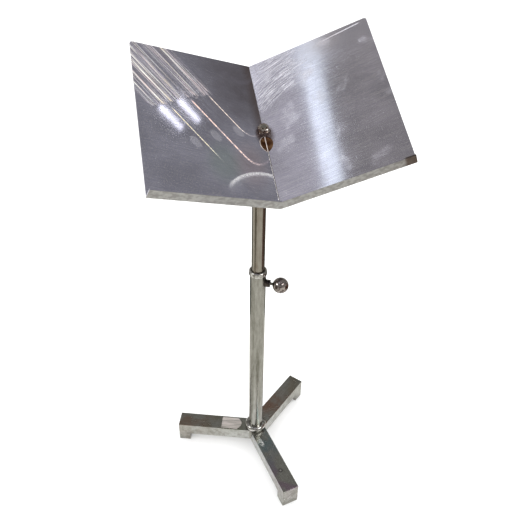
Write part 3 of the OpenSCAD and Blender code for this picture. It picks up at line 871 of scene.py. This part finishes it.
# Near the fold above the nut the sheet is darker, darkest right by the fold; lower down it has a
# green cast, and the wheel left pale ovals and one turn of its path.
darker_by_fold = smooth(out, 0.15, 0.02) * smooth(up_fold, 0.10, 0.22) * (0.6 + 0.6 * cloud(place, 40))
grey = blend_colour(darker_by_fold, grey, (0.27, 0.25, 0.29))
near_fold = smooth(out, 0.022, 0.0) * smooth(up_fold, 0.11, 0.15)
grey = blend_colour(near_fold * 0.7, grey, (0.20, 0.15, 0.14))
dark_streaks = marks(s, t, 70, 0.50, 0.66, 0.12, 11.0) * smooth(t, -0.05, 0.02)
grey = blend_colour(dark_streaks * 0.45, grey, (0.38, 0.36, 0.44))
green_cast = smooth(hypot(out - 0.080, (up_fold - 0.072) * 0.8), 0.040, 0.010)
grey = blend_colour(front * green_cast * 0.5, grey, (0.50, 0.62, 0.60))
warm_cast = smooth(hypot(out - 0.035, (up_fold - 0.075) * 0.7), 0.040, 0.010)
grey = blend_colour(front * warm_cast * 0.35, grey, (0.72, 0.55, 0.56))
ovals = 0
for oval_out, oval_up in ((0.046, 0.137), (0.087, 0.122), (0.122, 0.105)):
    from_oval_s, from_oval_t = along_path(out - oval_out, up_fold - oval_up)
    ovals = ovals + smooth(hypot(from_oval_s, from_oval_t * 1.7), 0.0135, 0.0095)
turn_out, turn_up, turn_rim = 0.018, -0.020, 0.0815
turn_r = hypot(out - turn_out, up_fold - turn_up)
turn_edge = smooth(turn_r, turn_rim + 0.003, turn_rim) * smooth(turn_r, 0.062, turn_rim)
lower_turn = front * turn_edge * smooth(out, 0.084, 0.072) * (0.25 + smooth(turn_r, 0.074, 0.080))
pale = front * ovals * 0.26 + lower_turn * 0.75 * (0.5 + cloud(place, 260))
grey = blend_colour(pale, grey, (0.84, 0.83, 0.86))
# The sweeps are real buffing marks; their pale rainbow tints and their matt brightness are a painted
# sheen.
painted_sheen_tints = t.node(
    "ShaderNodeValToRGB",
    {"stops": [(0.0, (0.72, 0.60, 0.66)), (0.32, (0.80, 0.712, 0.756)), (0.32, (0.88, 0.70, 0.46)),
               (0.5, (0.90, 0.90, 0.84)), (0.62, (0.80, 0.64, 0.60))]},
    {0: cloud(t.node("ShaderNodeCombineXYZ", {}, {0: t, 1: s * 0.1}), 160, detail=0)})
grey = blend_colour(sweeps_and_sheen, grey, painted_sheen_tints)
dullness = dullness + 0.42 * sweeps_and_sheen + 0.25 * pale
haze = 0.05 + sweeps_and_sheen * 0.58 + pale * 0.30
# Three thin gold and pink dashed lines along the sweeps are painted highlights: lamps' reflections in
# the hairlines.
for line_t, start, end, width, colour in (
        (-0.0185, -0.226, -0.100, 0.0010, (0.98, 0.86, 0.55)),
        (0.0215, -0.222, -0.055, 0.0016, (0.95, 0.66, 0.55)),
        (0.0555, -0.215, -0.100, 0.0010, (0.98, 0.80, 0.66))):
    off = (t - line_t) * (1 / width)
    core = smooth(off * off, 1.0, 0.1)
    dashes = 0.45 + 0.55 * marks(t * 0.2, s, 420, 0.35, 0.6, 1.0, line_t * 90)
    length = smooth(s, start, start + 0.01) * smooth(s, end, end - 0.05)
    glint_line = front * core * dashes * length
    grey = blend_colour(glint_line, grey, colour)
    dullness = dullness + 0.4 * glint_line
    haze = haze + 0.8 * glint_line
wire.feed(shader.inputs["Metallic"], 1 - haze)
finish_sheet(wire, shader, out, up_fold, grey, dullness, relief)
paint("left_plate", sheet)

# The right plate is brushed straight across, with short arcs where the wheel turned.
across_right = fold_up.cross(right_normal)
sheet, wire, shader, place, out, up_fold, grey, dullness, relief = worn_sheet(
    "right_sheet", across_right, (0.74, 0.70, 0.82), radians(3), 0.30)
arc_out, arc_up = 0.105, 0.06
from_centre, above_centre = out - arc_out, up_fold - arc_up
arc_r = hypot(from_centre, above_centre)
arc_turn = out.math("ARCTAN2", above_centre, from_centre)
arcs = marks(arc_turn * 0.17, arc_r, 1000, 0.50, 0.62, 0.03, 3.0)
arc_zone = smooth(out, 0.118, 0.080) * smooth(arc_r, 0.148, 0.160) * smooth(
    cloud(place, 40, detail=2, shift=2.0), 0.30, 0.52)
# A thin pale line just under the top edge is a painted highlight, the reflection off the sheet's
# rolled edge.
edge_glint = (up_fold - (0.262 + out * 0.085)) * 900
edge_glint = smooth(edge_glint * edge_glint, 1.0, 0.2) * smooth(out, 0.11, 0.16) * smooth(out, 0.198, 0.19)
scuffs = smooth(cloud(place, 34, stretch=(1, 1, 0.5), detail=5, shift=8.0), 0.56, 0.70)
front = smooth(dot(place, right_normal) - right_normal.dot(right_point), -0.0010, -0.0006)
pale = front * (arcs * arc_zone + edge_glint) + scuffs * 0.25
grey = blend_colour(pale * 0.75, grey, (0.90, 0.89, 0.95))
warm_cast = smooth(hypot(out - 0.131, up_fold - 0.278), 0.045, 0.012)
grey = blend_colour(front * warm_cast * 0.5, grey, (0.66, 0.56, 0.55))
grey = blend_colour(smooth(up_fold, 0.14, 0.28) * 0.35, grey, (0.92, 0.88, 0.97))
dullness = dullness + 0.035 + 0.2 * pale + 0.07 * smooth(up_fold, 0.17, 0.28)
wire.feed(shader.inputs["Metallic"], 0.95 - 0.42 * pale)
finish_sheet(wire, shader, out, up_fold, grey, dullness, relief, 0.192)
paint("right_plate", sheet)
for node in ("left_plate", "right_plate"):
    ease_edges(node, 0.0005, 3)

# ---- Fold bead ---------------------------------------------------------------------------------
# Soft solder run down the fold by hand, from under the oval to the ledge, in small overlapping
# pools.
bead_heights = [(v.co - fold_foot).dot(fold_up) for v in frame["nodes"]["fold_bead"].data.vertices]
bead_from, bead_to = min(bead_heights), max(bead_heights)
half_fan = asin(min(1, left_normal.dot(fold_front)))
solder_r, pool, fan_steps = 0.0011, 0.0021, 8
rings = int((bead_to - bead_from) / pool * 6)
points = []
for ring in range(rings + 1):
    at = bead_from + (bead_to - bead_from) * ring / rings
    ripple = abs(sin(pi * (at - bead_from) / pool))
    r = solder_r * (0.80 + 0.19 * ripple * (0.8 + 0.2 * sin(at * 911)))
    centre = fold_foot + fold_up * at
    points.append(centre)
    for step in range(fan_steps + 1):
        turn = half_fan * (2 * step / fan_steps - 1)
        points.append(centre + (fold_front * cos(turn) + fold_side * sin(turn)) * r)
solder = new_piece("solder_run", points, skin(rings + 1, fan_steps + 2))
solder_metal, wire, shader = new_finish("solder_metal", Metallic=1.0)
place = rest_place(wire)
pools = cloud(place, 700, detail=3)
wire.feed(shader.inputs["Base Color"], blend_colour(pools, (0.42, 0.38, 0.36), (0.74, 0.72, 0.72)))
wire.feed(shader.inputs["Roughness"], 0.16 + 0.2 * pools)
wire.feed(shader.inputs["Normal"], bump(pools, 0.00008))
solder.data.materials.append(solder_metal)
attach(solder, "tray")
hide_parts("fold_bead")

# The left half of the oval has a small burr along its edge; its pale colour is a painted highlight on
# the rim.
oval_height = 0.031
burr_metal, wire, shader = new_finish("burr_metal", Roughness=0.45)
burr_paleness = cloud(rest_place(wire), 600, detail=3)
wire.feed(shader.inputs["Base Color"], blend_colour(burr_paleness, (0.42, 0.34, 0.30), (0.80, 0.72, 0.68)))
wire.feed(shader.inputs["Metallic"], 0.5 + 0.3 * burr_paleness)
rim = [v.co.copy() for v in frame["nodes"]["left_plate"].data.vertices
       if abs((v.co - left_point).dot(left_normal)) < 0.00001
       and 0.0003 < (v.co - fold_foot).dot(across_left) < 0.5 * oval_height
       and bead_to - 0.004 < (v.co - fold_foot).dot(fold_up) < bead_to + oval_height + 0.002]
rim.sort(key=lambda point: point.dot(fold_up))
rim = [p for i, p in enumerate(rim) if i == 0 or (p - rim[i - 1]).length > 0.0002]
points, sides = [], 6
for i, centre in enumerate(rim):
    way = (rim[min(i + 1, len(rim) - 1)] - rim[max(i - 1, 0)]).normalized()
    inward = way.cross(left_normal)
    burr_r = 0.0007 * sin(pi * (i + 0.3) / (len(rim) - 0.4)) ** 0.5
    for side in range(sides):
        turn = 2 * pi * side / sides
        points.append(centre + (inward * cos(turn) + left_normal * sin(turn)) * burr_r)
oval_burr = new_piece("oval_burr", points, skin(len(rim), sides))
oval_burr.data.materials.append(burr_metal)
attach(oval_burr, "tray")

# ---- Tray nut ----------------------------------------------------------------------------------
# A hexagon nut on the stud draws the fold down on the lug, over a V-backed washer. Both are
# plated and browned by handling.
nut_points = [v.co for v in frame["nodes"]["tray_nut"].data.vertices]
nut_from = min((p - stud_foot).dot(stud_way) for p in nut_points)
nut_to = max((p - stud_foot).dot(stud_way) for p in nut_points)
nut_corner = max(((p - stud_foot) - stud_way * (p - stud_foot).dot(stud_way)).length
                 for p in nut_points)
nut_plating = bright_finish("nut_plating", (0.66, 0.60, 0.56), (0.22, 0.13, 0.09), 0.12, 260)
stud_nut = hex_piece("stud_nut", stud_foot + stud_way * nut_from, stud_way, nut_corner * inside_box,
                     nut_to - nut_from, bolt_r)
stud_nut.data.materials.append(nut_plating)
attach(stud_nut, "lug")
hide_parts("tray_nut")
paint("seat_washer", nut_plating)
ease_edges("seat_washer", 0.0006)
